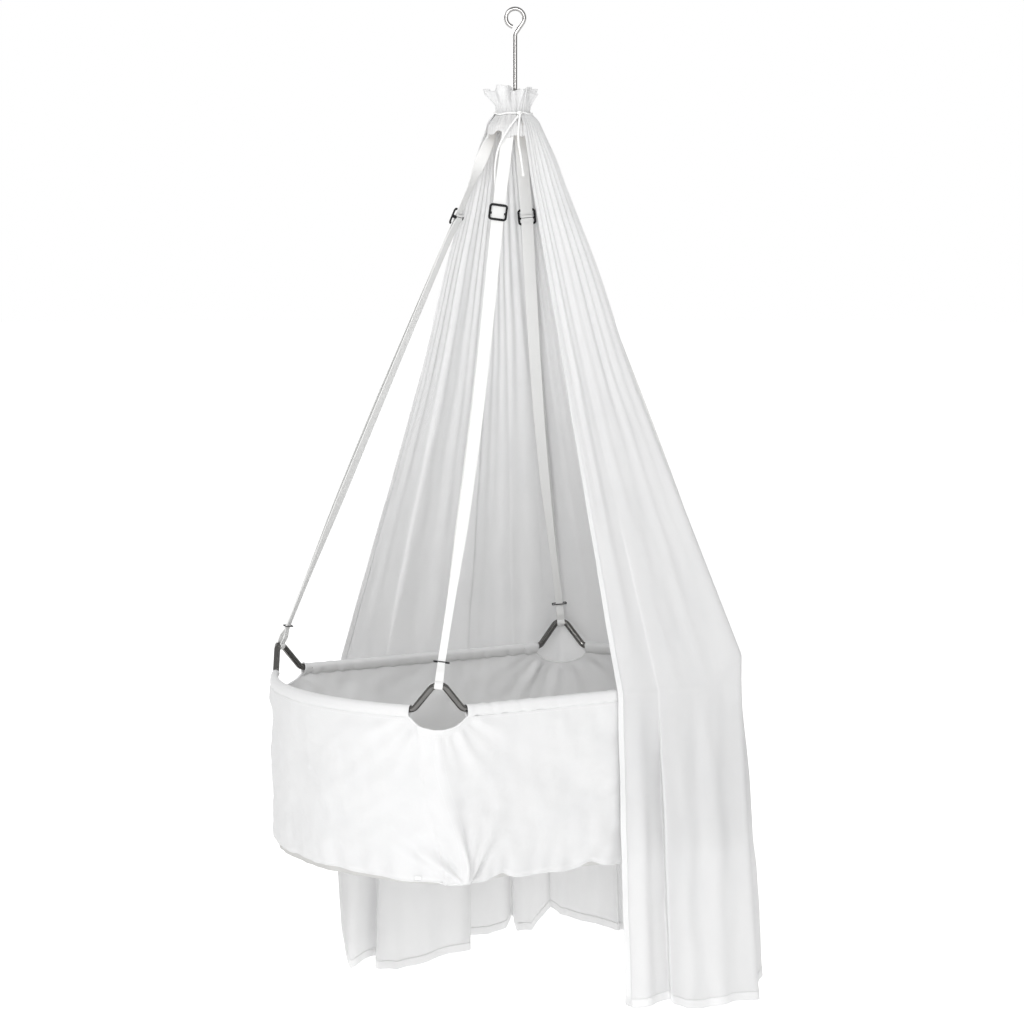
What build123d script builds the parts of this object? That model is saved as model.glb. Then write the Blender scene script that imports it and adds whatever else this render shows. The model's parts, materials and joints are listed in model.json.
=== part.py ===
from build123d import *
import os
from math import acos, atan2, cos, pi, radians, sin

# Hanging baby cradle. Millimetres. The origin is the centre of the hang rod's upper eye,
# +Z is up, +X runs along the cradle's long axis and +Y points to its back.

# Hang rod: one bent round rod with an eye at each end
rod_r = 4.0
upper_eye_r = 17.0
upper_eye_throat = 30.0
upper_eye_turn = -32.3
lower_eye_z = -156.0
lower_eye_r = 12.0
lower_eye_throat = 22.0
eye_throat_bend = 12.0
eye_gap_mm = 9.4

# Ring between the lower eye and the eye bolt
ring_wire_r = 3.0
ring_r = 11.0
link_gap = 0.2

# Eye bolt, nut and round board that spreads the straps
bolt_wire_r = 2.2
bolt_eye_r = 8.0
bolt_shank_r = 3.0
nut_across_r = 5.8
nut_height = 5.0
fit_gap = 0.15
spreader_r = 41.5
spreader_thick = 6.0
spreader_drop = 1.4
slot_radius = 37.0
slot_width = 26.0
slot_depth = 2.6

# Cradle: plan of the rim, shifted a little so that it balances the canopy
cradle_shift = Vector(-18, 12, 0)
half_length = 325.0
half_width = 300.0
end_angle = 33.0
end_bow_r = 450.0
rim_z = -1240.0

# Rim tube and the upturned V at each corner
tube_r = 6.0
tube_bore_r = 4.8
vee_run = 50.0
vee_rise = 58.0
vee_top_bend = 17.0
vee_foot_bend = 16.0
spigot_r = 4.7
spigot_leg = 22.0

# Straps
web_width = 25.0
web_thick = 1.6
lower_plies = 3.6
loop_inner_r = 14.0
loop_width = 18.0
stop_fold = 4.0
stop_above = 7.4
loop_length = 40.0
buckle_z = {"front_left": -361.0, "back_left": -371.0, "back_right": -373.0, "front_right": -361.0}
keeper_rise = 39.0

# Three-bar slide buckle
buckle_width = 35.0
buckle_height = 33.0
buckle_bar = 4.5
buckle_front = 2.6
buckle_slot = 4.4
buckle_back = 2.4

# Wire keeper
keeper_wire_r = 1.0
keeper_inside_width = 26.0
keeper_inside_depth = 4.8
keeper_corner_r = 1.8

# Tub of fabric
wall = 3.0
casing_r = 8.0
casing_bore_r = 6.3
tub_depth = 315.0
cutout_r = 56.6
cutout_rise = 24.6
cutout_reach = 70.0

# Base board and mattress inside the tub
board_gap = 0.5
board_thick = 5.0
board_inset = 10.0
mattress_thick = 40.0
mattress_inset = 14.0
plan_corner_r = 40.0

# Canopy: one sheet that starts at a gathered neck and hangs round the back and the right end
cloth = 1.3
canopy_columns = 30
neck_centre = Vector(-3, 2, 0)
neck_start = 147.7
neck_end = -100.0
neck_rows = [(-130, 46), (-170, 33), (-184, 33), (-190, 46.5), (-205, 53)]
buckle_row_z = -356.0
buckle_row_start = Vector(-50, 84, 0)
buckle_row_end = Vector(-12, -85, 0)
buckle_row_bulge = 38.0
shoulder_z = -1172.0
skirt_outline = [
    (-208, 342),
    (335, 342),
    (470, 12),
    (332, -320),
    (34, -324),
]
skirt_bends = [45, 330, 45]
skirt_flare = 0.03
hem_z = -1850.0
hem_lift = 70.0
hem_lift_at = 0.40
hem_lift_span = 0.33

# Tie cord round the canopy's neck, with its knot and two hanging tails
tie_z = -177.0
tie_r = 35.4
cord_r = 2.0
knot_at = Vector(-14.2, -38.3, -177)
knot_size = 8.0
knot_round = 2.5
tail_right = [
    (-14.3, -39.5, -182),
    (-19.1, -42.3, -200),
    (-21.5, -44.3, -228),
    (-17.9, -49, -258),
    (-15.6, -52.8, -290),
]
tail_left = [
    (-17.6, -37.8, -182),
    (-31.8, -39, -197),
    (-46.3, -35.8, -217),
    (-56.9, -30.2, -242),
    (-60.1, -25.9, -272),
    (-60.4, -24.5, -303),
    (-56.5, -25.8, -334),
]

corner_signs = {
    "front_left": (-1, -1),
    "back_left": (-1, 1),
    "back_right": (1, 1),
    "front_right": (1, -1),
}
ring_z = lower_eye_z - lower_eye_r + rod_r + ring_wire_r + link_gap - ring_r
ring_bottom_z = ring_z - ring_r
bolt_eye_z = ring_bottom_z + ring_wire_r + bolt_wire_r + link_gap - bolt_eye_r
spreader_top_z = bolt_eye_z - bolt_eye_r - bolt_wire_r - spreader_drop
spreader_low_z = spreader_top_z - spreader_thick
floor_z = rim_z - tub_depth


def bend(before, corner, after, radius):
    """Start, middle, end and centre of the arc that rounds a corner of a path."""
    to_before = (before - corner).normalized()
    to_after = (after - corner).normalized()
    half = radians(to_before.get_angle(to_after) / 2)
    inward = (to_before + to_after).normalized()
    centre = corner + inward * (radius / sin(half))
    reach = radius * cos(half) / sin(half)
    return corner + to_before * reach, centre - inward * radius, corner + to_after * reach, centre


def tube_along(path, radius, bore=0.0):
    """A round bar or tube swept along a wire."""
    start = Plane(path @ 0, z_dir=path % 0)
    section = start * Circle(radius)
    if bore:
        section -= start * Circle(bore)
    return sweep(section, path=path)


def corner_point(name, z=rim_z):
    """Where the rim's two sides would meet in plan at a named corner."""
    sx, sy = corner_signs[name]
    return Vector(sx * half_length, sy * half_width, z) + cradle_shift


def vee_points(name):
    """Foot on the long side, apex, and foot on the end side of a corner's V."""
    sx, sy = corner_signs[name]
    corner = corner_point(name)
    apex = corner + Vector(0, 0, vee_rise)
    long_foot = corner + Vector(-sx * vee_run, 0, 0)
    end_run = Vector(sx * sin(radians(end_angle)), -sy * cos(radians(end_angle)), 0) * vee_run
    return long_foot, apex, corner + end_run


def vee_top(name):
    """Start, middle, end and centre of the bend at the top of a corner's V."""
    long_foot, apex, end_foot = vee_points(name)
    return bend(long_foot, apex, end_foot, vee_top_bend)


def half_top(name, tangent):
    """Half of a V's top bend, from its middle to the tangent point on one leg."""
    middle, centre = vee_top(name)[1], vee_top(name)[3]
    quarter = centre + (middle + tangent - centre * 2).normalized() * vee_top_bend
    return ThreePointArc(middle, quarter, tangent)


def long_rail_path(left, right):
    """Centreline of a long rail, from the middle of one V to the middle of the other."""
    left_foot = vee_points(left)[0]
    right_foot = vee_points(right)[0]
    left_tangent = vee_top(left)[0]
    right_tangent = vee_top(right)[0]
    run = FilletPolyline(left_tangent, left_foot, right_foot, right_tangent, radius=vee_foot_bend)
    return Wire([half_top(left, left_tangent)] + list(run.edges()) + [half_top(right, right_tangent)])


def end_peak(side):
    """Where the two straight directions of a bowed end meet in plan."""
    reach = half_length + half_width * sin(radians(end_angle)) / cos(radians(end_angle))
    return Vector(side * reach, 0, rim_z) + cradle_shift


def end_rail_path(front, back, side):
    """Centreline of a bowed end rail, from the middle of one V to the middle of the other."""
    front_foot = vee_points(front)[2]
    back_foot = vee_points(back)[2]
    front_tangent = vee_top(front)[2]
    back_tangent = vee_top(back)[2]
    run = FilletPolyline(
        front_tangent, front_foot, end_peak(side), back_foot, back_tangent,
        radius=[vee_foot_bend, end_bow_r, vee_foot_bend],
    )
    return Wire([half_top(front, front_tangent)] + list(run.edges()) + [half_top(back, back_tangent)])


def spigot_path(name):
    """Centreline of the plug that joins two rails inside the top of a V."""
    long_foot, end_foot = vee_points(name)[0], vee_points(name)[2]
    start, middle, end = vee_top(name)[:3]
    first = start + (long_foot - start).normalized() * spigot_leg
    last = end + (end_foot - end).normalized() * spigot_leg
    return Wire([Line(first, start), ThreePointArc(start, middle, end), Line(end, last)])


def eye_end(radius, reach, centre_z, up, turn):
    """Eye at one end of the rod: a throat bend, a straight run and an open loop."""
    throat = Vector(0, -reach, 0)
    below = throat - Vector(0, eye_throat_bend, 0)
    touch_angle = radians(90) - acos(radius / reach)
    touch = Vector(cos(touch_angle), -sin(touch_angle), 0) * radius
    straight = FilletPolyline(below, throat, touch, radius=eye_throat_bend)
    last_angle = radians(270) - eye_gap_mm / radius / 2
    middle_angle = (last_angle - touch_angle) / 2
    loop = ThreePointArc(
        touch,
        Vector(cos(middle_angle), sin(middle_angle), 0) * radius,
        Vector(cos(last_angle), sin(last_angle), 0) * radius,
    )
    flat = Wire(list(straight.edges()) + [loop])
    across = Vector(cos(radians(turn)), sin(radians(turn)), 0)
    plane = Plane(origin=(0, 0, centre_z), x_dir=across, z_dir=across.cross(Vector(0, 0, up)))
    return tube_along(plane * flat, rod_r)


def hang_rod():
    """Rod with an eye at each end."""
    shank_top = -upper_eye_throat - eye_throat_bend
    shank_bottom = lower_eye_z + lower_eye_throat + eye_throat_bend
    shank = Pos(0, 0, shank_bottom) * Cylinder(
        rod_r, shank_top - shank_bottom, align=(Align.CENTER, Align.CENTER, Align.MIN)
    )
    upper = eye_end(upper_eye_r, upper_eye_throat, 0, 1, upper_eye_turn)
    lower = eye_end(lower_eye_r, lower_eye_throat, lower_eye_z, -1, 0)
    return shank + upper + lower


def strap_ring():
    """Closed wire ring in the YZ plane."""
    return Pos(0, 0, ring_z) * Rot(0, 90, 0) * Torus(ring_r, ring_wire_r)


def eye_bolt():
    """Closed eye round the ring's lower wire, with a shank through the spreader."""
    eye = Pos(0, 0, bolt_eye_z) * Rot(90, 0, 0) * Torus(bolt_eye_r, bolt_wire_r)
    shank_top = bolt_eye_z - bolt_eye_r
    shank_low = spreader_low_z - nut_height - link_gap
    shank = Pos(0, 0, shank_top) * Cylinder(
        bolt_shank_r, shank_top - shank_low, align=(Align.CENTER, Align.CENTER, Align.MAX)
    )
    return eye + shank


def bolt_nut():
    """Hexagon nut under the spreader."""
    flat = RegularPolygon(nut_across_r, 6) - Circle(bolt_shank_r + fit_gap)
    return extrude(Pos(0, 0, spreader_low_z - link_gap) * flat, -nut_height + link_gap)


def spreader():
    """Round board with a centre hole and a slot for each strap."""
    board = Pos(0, 0, spreader_low_z) * Cylinder(
        spreader_r, spreader_thick, align=(Align.CENTER, Align.CENTER, Align.MIN)
    )
    board -= Pos(0, 0, spreader_low_z) * Cylinder(bolt_shank_r + fit_gap, 3 * spreader_thick)
    for name in corner_signs:
        board -= strap_frame(name)[0] * Box(4 * spreader_thick, slot_depth, slot_width)
    return board


def strap_frame(name):
    """Plane of a strap: X down its line, Y outward, Z across its width; its length; its direction."""
    start, bottom, end = vee_top(name)[:3]
    outward = Vector(bottom.X, bottom.Y, 0).normalized()
    top = outward * slot_radius + Vector(0, 0, (spreader_top_z + spreader_low_z) / 2)
    down = (bottom - top).normalized()
    tube_line = (end - start).normalized()
    across = (tube_line - down * tube_line.dot(down)).normalized()
    if across.cross(down).dot(outward) < 0:
        across = across * -1
    return Plane(origin=top, x_dir=down, z_dir=across), (bottom - top).length, down


def along_strap(name, z):
    """Distance down a strap's line to the height z."""
    plane, down = strap_frame(name)[0], strap_frame(name)[2]
    return (z - plane.origin.Z) / down.Z


def strap(name):
    """Fold above the spreader, one ply to the buckle, two plies below it and a loop round the tube."""
    plane, length = strap_frame(name)[:2]
    buckle_at = along_strap(name, buckle_z[name])
    loop_start = length - loop_length
    upper = Pos((buckle_at - stop_above) / 2, 0) * Rectangle(buckle_at + stop_above, web_thick)
    lower = Pos((buckle_at + loop_start) / 2, 0) * Rectangle(loop_start - buckle_at, lower_plies)
    bands = extrude(plane * (upper + lower), web_width / 2, both=True)
    fold = Pos(-stop_above, 0) * Rectangle(stop_fold, stop_fold)
    outer_edges = Circle(loop_inner_r + web_thick).edges() + (
        Pos(-loop_length, 0) * Rectangle(web_thick, lower_plies)
    ).edges()
    inner_edges = Circle(loop_inner_r).edges() + (
        Pos(-loop_length + lower_plies, 0) * Rectangle(web_thick, lower_plies / 4)
    ).edges()
    ring = Pos(length, 0) * (make_hull(outer_edges) - make_hull(inner_edges))
    narrow = extrude(plane * ring, loop_width / 2, both=True)
    return bands + narrow + extrude(plane * fold, loop_width / 2, both=True)


def on_strap(name, distance):
    """Plane that faces outward on a strap: X across it, Y up its line."""
    plane, down = strap_frame(name)[0], strap_frame(name)[2]
    return Plane(origin=plane.origin + down * distance, x_dir=plane.z_dir * -1, z_dir=plane.y_dir)


def buckle(name):
    """Square slide: outer bars in front of the webbing and a middle bar behind it."""
    side_depth = buckle_front + buckle_slot + buckle_back
    front_z = buckle_slot / 2
    side_x = buckle_width / 2 - buckle_bar / 2
    end_y = buckle_height / 2 - buckle_bar / 2
    bars = Part()
    for side in (-1, 1):
        bars += Pos(side * side_x, 0, front_z + buckle_front) * Box(
            buckle_bar, buckle_height, side_depth, align=(Align.CENTER, Align.CENTER, Align.MAX)
        )
        bars += Pos(0, side * end_y, front_z) * Box(
            buckle_width, buckle_bar, buckle_front, align=(Align.CENTER, Align.CENTER, Align.MIN)
        )
    bars += Pos(0, 0, -front_z) * Box(
        buckle_width, buckle_bar, buckle_back, align=(Align.CENTER, Align.CENTER, Align.MAX)
    )
    return on_strap(name, along_strap(name, buckle_z[name])) * bars


def keeper(name):
    """Thin wire loop that pinches the two plies together above the V."""
    height = along_strap(name, vee_top(name)[1].Z + keeper_rise)
    across = on_strap(name, height)
    level = Plane(origin=across.origin, x_dir=across.x_dir, z_dir=across.y_dir)
    path = RectangleRounded(
        keeper_inside_width + 2 * keeper_wire_r,
        keeper_inside_depth + 2 * keeper_wire_r,
        keeper_corner_r,
    ).wire()
    return level * tube_along(path, keeper_wire_r)


def plan_outline(inset, corner_radius=0.0):
    """Closed plan of the tub at a distance inside the rim's centreline."""
    points = [
        corner_point("front_left", 0),
        corner_point("front_right", 0),
        end_peak(1) - Vector(0, 0, rim_z),
        corner_point("back_right", 0),
        corner_point("back_left", 0),
        end_peak(-1) - Vector(0, 0, rim_z),
    ]
    line = FilletPolyline(points, radius=[0, 0, end_bow_r, 0, 0, end_bow_r], close=True)
    face = make_face(line)
    if inset:
        face = offset(face, -inset, kind=Kind.INTERSECTION)
    if corner_radius:
        corners = face.vertices().sort_by(lambda v: -abs(v.Y - cradle_shift.Y))[:4]
        face = fillet(corners, corner_radius)
    return face


def casing_runs():
    """Stretches of the rim that the fabric's casing wraps, all at rim height."""
    runs = []
    for left, right in (("front_left", "front_right"), ("back_left", "back_right")):
        runs.append(Wire([Line(vee_points(left)[0], vee_points(right)[0])]))
    for front, back, side in (("front_left", "back_left", -1), ("front_right", "back_right", 1)):
        run = FilletPolyline(vee_points(front)[2], end_peak(side), vee_points(back)[2], radius=end_bow_r)
        runs.append(Wire(list(run.edges())))
    return runs


def tub_fabric():
    """Fabric tub: walls under the rim, a floor, a casing round the tube and a cut-out at each V."""
    outside = extrude(Pos(0, 0, floor_z) * plan_outline(-wall / 2), tub_depth)
    inside = extrude(Pos(0, 0, floor_z + wall) * plan_outline(wall / 2), tub_depth)
    tub = outside - inside
    for run in casing_runs():
        tub += tube_along(run, casing_r)
    for run in casing_runs():
        tub -= tube_along(run, casing_bore_r)
    half_turn = radians(90 - end_angle) / 2
    for name, (sx, sy) in corner_signs.items():
        corner = corner_point(name) + Vector(0, 0, cutout_rise)
        facing = Plane(origin=corner, z_dir=Vector(sx * sin(half_turn), sy * cos(half_turn), 0))
        tub -= facing * Cylinder(cutout_r, 2 * cutout_reach)
    return tub


def base_board():
    """Stiff board that keeps the tub's floor flat."""
    low = floor_z + wall + board_gap
    return extrude(Pos(0, 0, low) * plan_outline(board_inset, plan_corner_r), board_thick)


def mattress():
    """Flat mattress on the base board."""
    low = floor_z + wall + 2 * board_gap + board_thick
    return extrude(Pos(0, 0, low) * plan_outline(mattress_inset, plan_corner_r), mattress_thick)


def canopy_rows():
    """Points of the canopy's outer face, row by row from the ruffle to the hem."""
    outline = FilletPolyline([Vector(x, y, 0) for x, y in skirt_outline], radius=skirt_bends)
    rows = [[] for _ in range(len(neck_rows) + 4)]
    first_angle = atan2(buckle_row_start.Y, buckle_row_start.X)
    last_angle = atan2(buckle_row_end.Y, buckle_row_end.X)
    for column in range(canopy_columns + 1):
        share = column / canopy_columns
        angle = radians(neck_start + (neck_end - neck_start) * share)
        ray = Vector(cos(angle), sin(angle), 0)
        for row, (z, radius) in zip(rows, neck_rows):
            row.append(neck_centre + ray * radius + Vector(0, 0, z))
        angle = first_angle + (last_angle - first_angle) * share
        radius = buckle_row_start.length * (1 - share) + buckle_row_end.length * share
        radius += buckle_row_bulge * sin(pi * share)
        skirt = outline @ share
        lift = hem_lift * max(0.0, 1 - abs(share - hem_lift_at) / hem_lift_span)
        rows[-4].append(Vector(cos(angle) * radius, sin(angle) * radius, buckle_row_z))
        rows[-3].append(skirt + Vector(0, 0, shoulder_z))
        rows[-2].append(skirt * (1 + skirt_flare / 3) + Vector(0, 0, rim_z))
        rows[-1].append(skirt * (1 + skirt_flare) + Vector(0, 0, hem_z + lift))
    return rows


def triangle_pair(a, b, c, d):
    """Two flat triangles that fill a four-cornered patch."""
    return [Face(Wire.make_polygon([a, b, c])), Face(Wire.make_polygon([a, c, d]))]


def canopy():
    """Thin closed shell that is open to the front and the left."""
    outer = canopy_rows()
    inner = [[p - Vector(p.X, p.Y, 0).normalized() * cloth for p in row] for row in outer]
    last_row = len(outer) - 1
    last = canopy_columns
    faces = []
    for r in range(last_row):
        for c in range(last):
            faces += triangle_pair(outer[r][c], outer[r + 1][c], outer[r + 1][c + 1], outer[r][c + 1])
            faces += triangle_pair(inner[r][c], inner[r][c + 1], inner[r + 1][c + 1], inner[r + 1][c])
        faces += triangle_pair(outer[r][0], inner[r][0], inner[r + 1][0], outer[r + 1][0])
        faces += triangle_pair(outer[r][last], outer[r + 1][last], inner[r + 1][last], inner[r][last])
    for c in range(last):
        faces += triangle_pair(outer[0][c], outer[0][c + 1], inner[0][c + 1], inner[0][c])
        low_outer, low_inner = outer[last_row], inner[last_row]
        faces += triangle_pair(low_outer[c], low_inner[c], low_inner[c + 1], low_outer[c + 1])
    return Solid(Shell(faces))


def tie_cord():
    """Cord round the canopy's neck."""
    return Pos(neck_centre.X, neck_centre.Y, tie_z) * Torus(tie_r, cord_r)


def tie_knot():
    """Knot that closes the cord at the front."""
    facing = (knot_at - neck_centre) - Vector(0, 0, knot_at.Z)
    block = Plane(origin=knot_at, z_dir=facing) * Box(knot_size, knot_size, knot_size)
    return fillet(block.edges(), knot_round)


def cord_tail(points):
    """A hanging tail of the tie cord: straight runs joined by tangent arcs."""
    route = [Vector(*p) for p in points]
    radii = []
    for before, corner, after in zip(route, route[1:], route[2:]):
        turn = radians((corner - before).get_angle(after - corner))
        shorter = min((corner - before).length, (after - corner).length)
        radii.append(0.45 * shorter * cos(turn / 2) / sin(turn / 2))
    print("tail radii", [round(r, 1) for r in radii])
    path = FilletPolyline(route, radius=radii)
    return tube_along(path, cord_r)


nodes = {
    "hang_rod": hang_rod(),
    "strap_ring": strap_ring(),
    "eye_bolt": eye_bolt(),
    "bolt_nut": bolt_nut(),
    "strap_spreader": spreader(),
    "rail_front": tube_along(long_rail_path("front_left", "front_right"), tube_r, tube_bore_r),
    "rail_back": tube_along(long_rail_path("back_left", "back_right"), tube_r, tube_bore_r),
    "rail_left_end": tube_along(end_rail_path("front_left", "back_left", -1), tube_r, tube_bore_r),
    "rail_right_end": tube_along(end_rail_path("front_right", "back_right", 1), tube_r, tube_bore_r),
    "tub_fabric": tub_fabric(),
    "base_board": base_board(),
    "mattress": mattress(),
    "canopy": canopy(),
    "tie_cord": tie_cord(),
    "tie_knot": tie_knot(),
    "tie_tail_right": cord_tail(tail_right),
    "tie_tail_left": cord_tail(tail_left),
}
for corner_name in corner_signs:
    nodes["strap_" + corner_name] = strap(corner_name)
    nodes["buckle_" + corner_name] = buckle(corner_name)
    nodes["keeper_" + corner_name] = keeper(corner_name)
    nodes["spigot_" + corner_name] = tube_along(spigot_path(corner_name), spigot_r)

os.makedirs("parts", exist_ok=True)
for node_name, shape in nodes.items():
    export_step(shape, f"parts/{node_name}.step")
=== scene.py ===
import json
import math

import bmesh
import bpy
import numpy as np
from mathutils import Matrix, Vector
from numpy import cos, exp, sin


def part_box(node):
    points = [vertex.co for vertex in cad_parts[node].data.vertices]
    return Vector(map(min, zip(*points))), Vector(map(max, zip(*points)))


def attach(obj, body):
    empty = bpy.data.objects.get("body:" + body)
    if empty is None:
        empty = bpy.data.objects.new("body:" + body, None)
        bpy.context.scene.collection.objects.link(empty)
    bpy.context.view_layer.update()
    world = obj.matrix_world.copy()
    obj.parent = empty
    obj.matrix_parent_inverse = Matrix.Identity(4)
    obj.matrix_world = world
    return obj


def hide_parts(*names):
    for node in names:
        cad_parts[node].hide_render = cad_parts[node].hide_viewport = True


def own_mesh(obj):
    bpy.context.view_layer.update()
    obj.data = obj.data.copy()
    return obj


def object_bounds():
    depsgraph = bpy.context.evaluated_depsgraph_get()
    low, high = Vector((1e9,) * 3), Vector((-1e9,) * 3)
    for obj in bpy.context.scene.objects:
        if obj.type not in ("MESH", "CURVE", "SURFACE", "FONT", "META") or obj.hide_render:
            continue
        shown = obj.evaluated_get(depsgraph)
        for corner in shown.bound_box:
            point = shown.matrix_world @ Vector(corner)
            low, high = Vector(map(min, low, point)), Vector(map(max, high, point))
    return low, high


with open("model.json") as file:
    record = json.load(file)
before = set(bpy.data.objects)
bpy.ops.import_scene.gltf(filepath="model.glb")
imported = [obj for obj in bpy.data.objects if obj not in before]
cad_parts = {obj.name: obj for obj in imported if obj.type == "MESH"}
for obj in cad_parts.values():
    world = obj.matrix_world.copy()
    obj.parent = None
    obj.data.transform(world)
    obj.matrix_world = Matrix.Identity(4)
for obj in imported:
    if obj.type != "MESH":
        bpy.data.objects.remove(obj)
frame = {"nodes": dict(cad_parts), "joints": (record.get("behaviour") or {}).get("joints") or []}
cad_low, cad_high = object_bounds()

# Hanging baby cradle, in metres. The origin is the centre of the hang rod's upper eye,
# +Z is up, +X runs along the cradle's long axis and +Y points to its back.

nodes = frame["nodes"]
corners = ("front_left", "back_left", "back_right", "front_right")
tau = 2 * math.pi

# Camera
camera_at = (-3.4754, -5.4888, -0.2604)
camera_heading = (0.534, 0.845)
camera_pitch = math.radians(5.858)
camera_lens = 121.2
sensor_width = 36.0

# Sizes that several pieces share
tube_r = 0.006
casing_r = 0.0076
end_angle = math.radians(33)
end_bow_r = 0.45
stitch_lift = 0.0009

# Routes of the tie cord's tails, the same as in the CAD
cord_diameter = 0.004
tail_right_route = [
    (-0.0143, -0.0395, -0.182), (-0.0191, -0.0423, -0.200), (-0.0215, -0.0443, -0.228),
    (-0.0179, -0.0490, -0.258), (-0.0156, -0.0528, -0.290),
]
tail_left_route = [
    (-0.0176, -0.0378, -0.182), (-0.0318, -0.0390, -0.197), (-0.0463, -0.0358, -0.217),
    (-0.0569, -0.0302, -0.242), (-0.0601, -0.0259, -0.272), (-0.0604, -0.0245, -0.303),
    (-0.0565, -0.0258, -0.334),
]


# ---------------- small tools


def smooth(x, low, high):
    """0 below low, 1 above high, and an even S between them."""
    t = np.clip((np.asarray(x, float) - low) / (high - low), 0, 1)
    return t * t * (3 - 2 * t)


def bell(x, middle, width):
    """A hump of height 1."""
    return exp(-(((np.asarray(x, float) - middle) / width) ** 2))


def norm(vectors):
    """Lengths of vectors."""
    return np.linalg.norm(vectors, axis=-1)


def unit(vectors):
    """Vectors of length 1."""
    return vectors / np.linalg.norm(vectors, axis=-1, keepdims=True)


def ripples(u, v, seed, wave_u, wave_v, count=14):
    """Irregular waves of about unit height over two coordinates, the same on each run."""
    rng = np.random.default_rng(seed)
    total = np.zeros(np.broadcast(u, v).shape)
    for _ in range(count):
        turn = rng.uniform(0, tau)
        size = rng.uniform(0.6, 1.6)
        phase = rng.uniform(0, tau)
        along = u / wave_u * math.cos(turn) + v / wave_v * math.sin(turn)
        total = total + sin(tau * size * along + phase)
    return total / math.sqrt(count)


def arc_corner(before, corner, after, radius, steps=24):
    """Points of the arc that rounds a corner in plan."""
    a, b = unit(before - corner), unit(after - corner)
    half = math.acos(float(np.clip(a @ b, -1, 1))) / 2
    centre = corner + unit(a + b) * radius / math.sin(half)
    first = corner + a * radius / math.tan(half) - centre
    last = corner + b * radius / math.tan(half) - centre
    sweep = math.pi - 2 * half
    share = np.linspace(0, 1, steps + 1)[:, None]
    return list(centre + (first * sin((1 - share) * sweep) + last * sin(share * sweep)) / math.sin(sweep))


def rounded_line(points, radii, closed=False):
    """A plan line with its corners rounded, as an array of points."""
    points = [np.array(p, float) for p in points]
    count = len(points)
    line = []
    for i, p in enumerate(points):
        if (closed or 0 < i < count - 1) and radii[i] > 0:
            line += arc_corner(points[i - 1], p, points[(i + 1) % count], radii[i])
        else:
            line.append(p)
    if closed:
        line.append(line[0])
    return np.array(line)


def along_line(line, shares):
    """Points of a line at shares of its length."""
    at = np.concatenate([[0], np.cumsum(norm(np.diff(line, axis=0)))])
    wanted = np.asarray(shares) * at[-1]
    return np.stack([np.interp(wanted, at, line[:, k]) for k in range(line.shape[1])], -1)


def line_length(line):
    """Length of a line of points."""
    return float(norm(np.diff(line, axis=0)).sum())


def blur(values, width):
    """Softens a list of values with a running average."""
    kernel = np.hanning(2 * width + 3)[1:-1]
    padded = np.pad(values, (width, width), mode="edge")
    return np.convolve(padded, kernel / kernel.sum(), mode="valid")


def grid_normals(grid):
    """Unit normals of a grid of points."""
    n = np.cross(np.gradient(grid, axis=0), np.gradient(grid, axis=1))
    return n / np.maximum(np.linalg.norm(n, axis=2, keepdims=True), 1e-12)


def catmull(points, count):
    """A smooth line through points, as an array."""
    p = np.array(points, float)
    p = np.vstack([2 * p[0] - p[1], p, 2 * p[-1] - p[-2]])
    t = np.linspace(0, 1, count, endpoint=False)[:, None]
    spans = [
        0.5 * (2 * b + (c - a) * t + (2 * a - 5 * b + 4 * c - d) * t**2 + (3 * b - a - 3 * c + d) * t**3)
        for a, b, c, d in zip(p, p[1:], p[2:], p[3:])
    ]
    return np.vstack([*spans, p[-2]])


def add_object(name, data):
    """Puts new data into the scene."""
    made = bpy.data.objects.new(name, data)
    bpy.context.scene.collection.objects.link(made)
    return made


def add_mesh(name, vertices, faces, material):
    """A smooth mesh piece from plain lists."""
    mesh = bpy.data.meshes.new(name)
    mesh.from_pydata([tuple(v) for v in vertices], [], faces)
    mesh.polygons.foreach_set("use_smooth", [True] * len(mesh.polygons))
    mesh.materials.append(material)
    return add_object(name, mesh)


def grid_piece(name, grid, size, material, thickness, wrap=False):
    """A smooth sheet through a grid of points, with its UVs in metres of cloth."""
    rows, cols = grid.shape[:2]
    index = np.arange(rows * cols).reshape(rows, cols)
    quads = np.stack([index[:-1, :-1], index[1:, :-1], index[1:, 1:], index[:-1, 1:]], -1).reshape(-1, 4)
    piece = add_mesh(name, grid.reshape(-1, 3).tolist(), quads.tolist(), material)
    mesh = piece.data
    uv = np.meshgrid(np.linspace(0, size[0], cols), np.linspace(0, size[1], rows))
    uv = np.stack(uv, -1).reshape(-1, 2)
    mesh.uv_layers.new(name="cloth").data.foreach_set("uv", uv[quads.ravel()].ravel())
    if wrap:
        build = bmesh.new()
        build.from_mesh(mesh)
        bmesh.ops.remove_doubles(build, verts=build.verts, dist=1e-5)
        build.to_mesh(mesh)
        build.free()
    solid = piece.modifiers.new("thickness", "SOLIDIFY")
    solid.thickness = thickness
    solid.offset = 0
    return piece


def ring_faces(rings, sides, closed, base=0):
    """Faces between rings of points in a row, with a cap on each end of an open form."""
    faces = []
    for i in range(rings if closed else rings - 1):
        low, high = base + i * sides, base + (i + 1) % rings * sides
        for k in range(sides):
            n = (k + 1) % sides
            faces.append((low + k, low + n, high + n, high + k))
    if not closed:
        faces.append(tuple(base + k for k in range(sides))[::-1])
        faces.append(tuple(base + (rings - 1) * sides + k for k in range(sides)))
    return faces


def tangents(line, closed):
    """Unit directions along a line of points."""
    return unit(np.roll(line, -1, 0) - np.roll(line, 1, 0) if closed else np.gradient(line, axis=0))


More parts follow.
